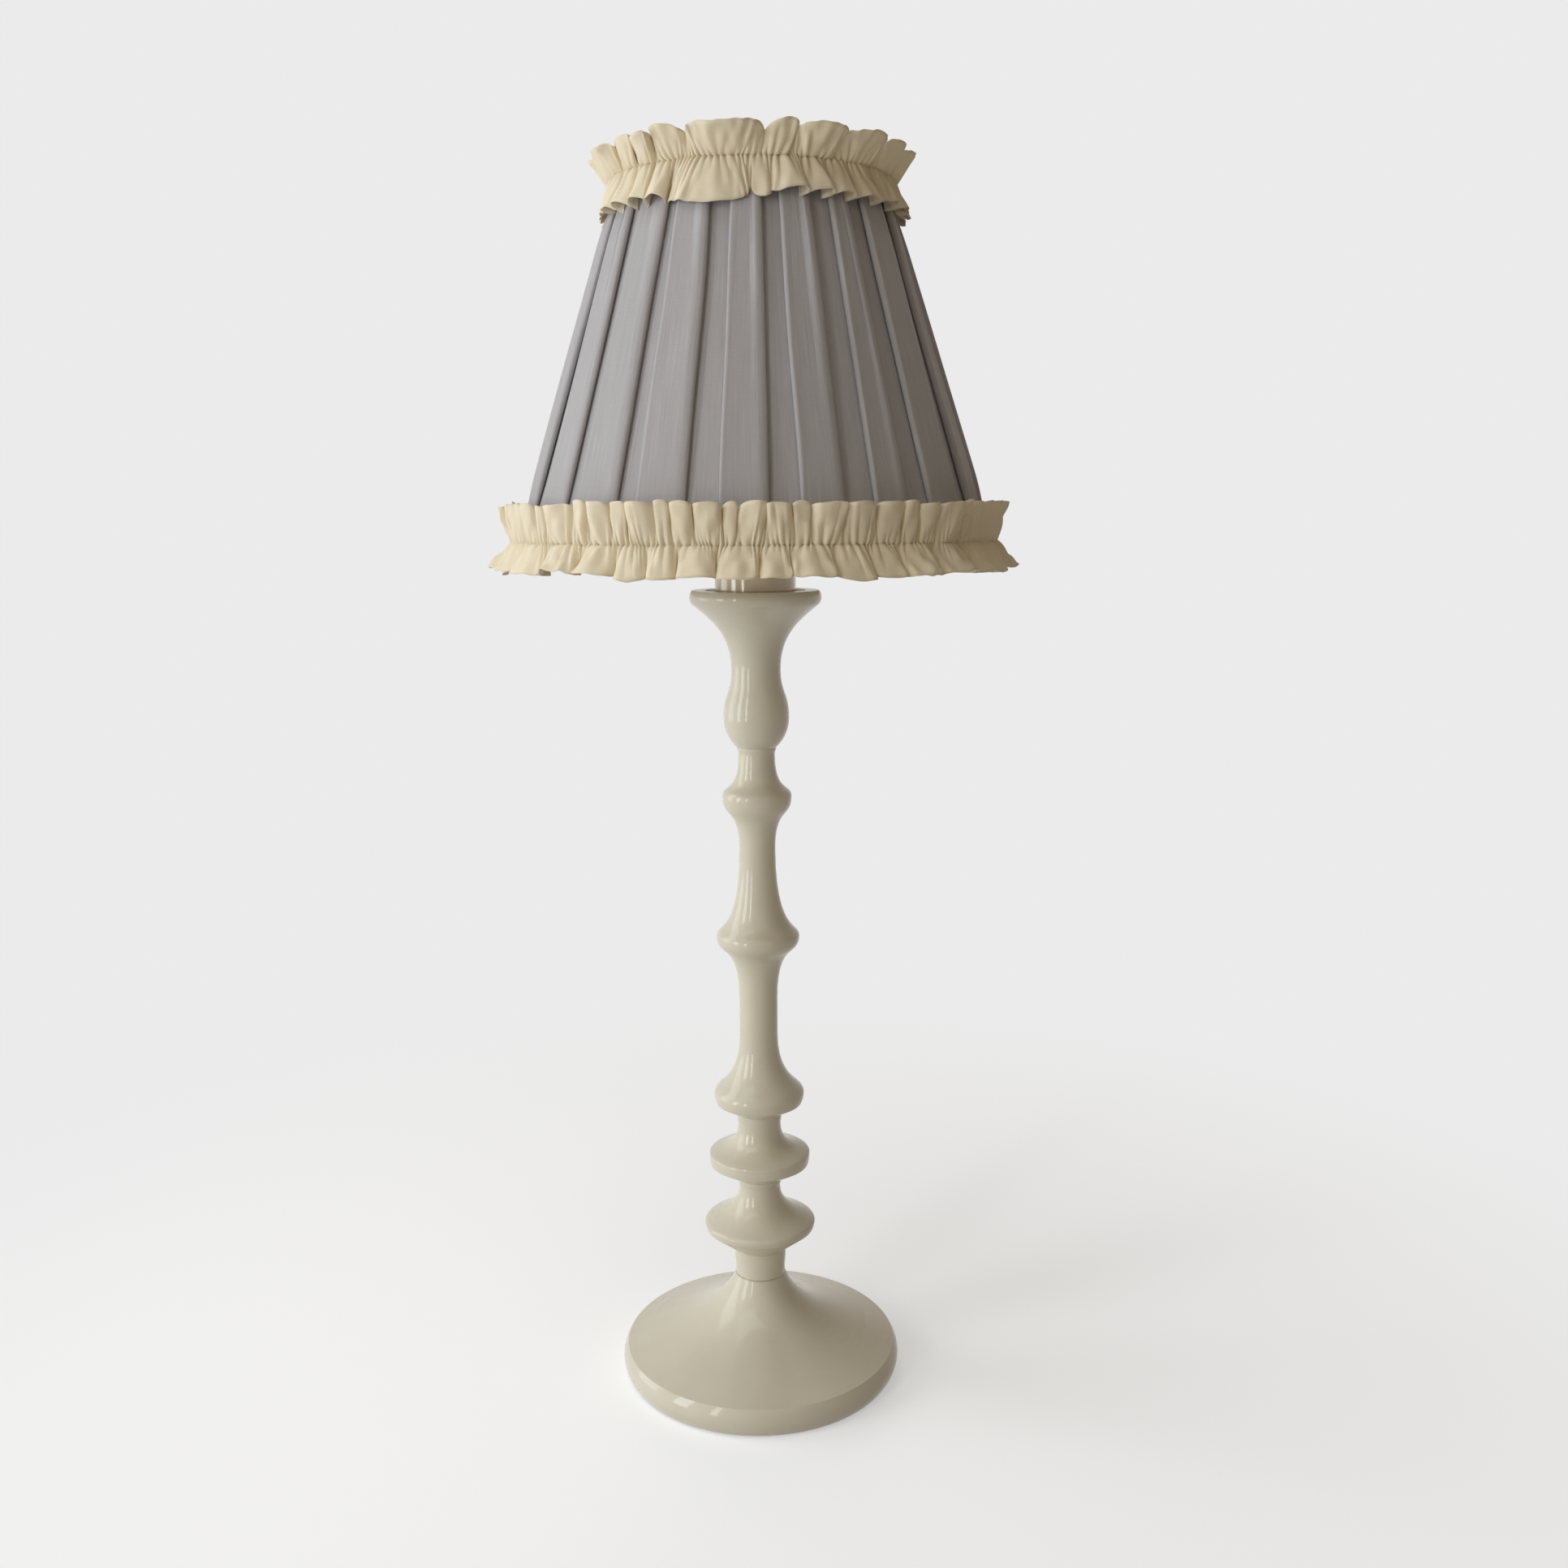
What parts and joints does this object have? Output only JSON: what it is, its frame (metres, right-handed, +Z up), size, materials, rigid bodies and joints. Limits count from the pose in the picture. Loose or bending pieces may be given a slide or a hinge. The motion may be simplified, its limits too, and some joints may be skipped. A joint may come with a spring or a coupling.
{
  "type": "candle lamp",
  "caption": "Turned ivory candlestick lamp with a spring-fed candle tube, a brass shade carrier and a lift-off box-pleated cloth shade edged with gathered frills.",
  "frame": {"origin": "on the table under the middle of the foot", "axes": "+Z up along the stem; -Y is the front that the picture shows"},
  "size_m": [0.1782, 0.1782, 0.4287],
  "materials": {
    "lacquer": "gloss ivory lacquer over turned wood",
    "tube_enamel": "gloss cream enamel",
    "brass": "satin lacquered brass",
    "plain_steel": "bright zinc plate",
    "iron_weight": "as cast",
    "felt": "wool felt",
    "wax": "ivory candle wax",
    "wick_cotton": "braided cotton, charred at the tip",
    "frame_wire": "white coated wire",
    "shade_cloth": "grey-lavender slubbed silk weave",
    "lining_cloth": "plain pale cotton",
    "frill_cloth": "cream cotton lawn"
  },
  "bodies": {
    "candlestick": {"foot": "lacquer", "stem": "lacquer", "candle_cup": "brass", "foot_weight": "iron_weight", "foot_screw": "plain_steel", "screw_washer": "plain_steel", "felt_pad": "felt"},
    "lamp_tube": {"candle_tube": "tube_enamel", "tube_plug": "plain_steel", "bayonet_pins": "brass", "feed_spring": "plain_steel"},
    "candle_stack": {"candle_follower": "plain_steel", "candle": "wax", "wick": "wick_cotton"},
    "cap": {"nozzle_cap": "brass"},
    "carrier": {"carrier_collar": "brass", "gallery_ring": "brass", "carrier_arm_1": "brass", "carrier_arm_2": "brass", "carrier_arm_3": "brass"},
    "shade": {"fitter_ring": "frame_wire", "top_ring": "frame_wire", "bottom_ring": "frame_wire", "lining": "lining_cloth", "pleated_cover": "shade_cloth", "hem_frill": "frill_cloth", "crown_frill": "frill_cloth", "fitter_arm_1": "frame_wire", "fitter_arm_2": "frame_wire", "fitter_arm_3": "frame_wire", "strut_1": "frame_wire", "strut_2": "frame_wire", "strut_3": "frame_wire", "strut_4": "frame_wire", "strut_5": "frame_wire", "strut_6": "frame_wire", "strut_7": "frame_wire", "strut_8": "frame_wire"}
  },
  "joints": [
    {"name": "tube_lift", "type": "slide", "parent": "candlestick", "child": "lamp_tube", "axis": [0, 0, 1], "range_m": [0, 0.03]},
    {"name": "candle_feed", "type": "slide", "parent": "lamp_tube", "child": "candle_stack", "axis": [0, 0, 1], "range_m": [-0.012, 0], "stiffness_N_per_m": 100, "springref_m": 0.04, "deforming": ["feed_spring"]},
    {"name": "cap_twist", "type": "hinge", "parent": "lamp_tube", "child": "cap", "pos_m": [0, 0, 0.345], "axis": [0, 0, 1], "range_deg": [0, 24]},
    {"name": "carrier_turn", "type": "hinge", "parent": "cap", "child": "carrier", "pos_m": [0, 0, 0.343], "axis": [0, 0, 1], "continuous": true},
    {"name": "shade_lift", "type": "slide", "parent": "carrier", "child": "shade", "axis": [0, 0, 1], "range_m": [0, 0.14]}
  ]
}
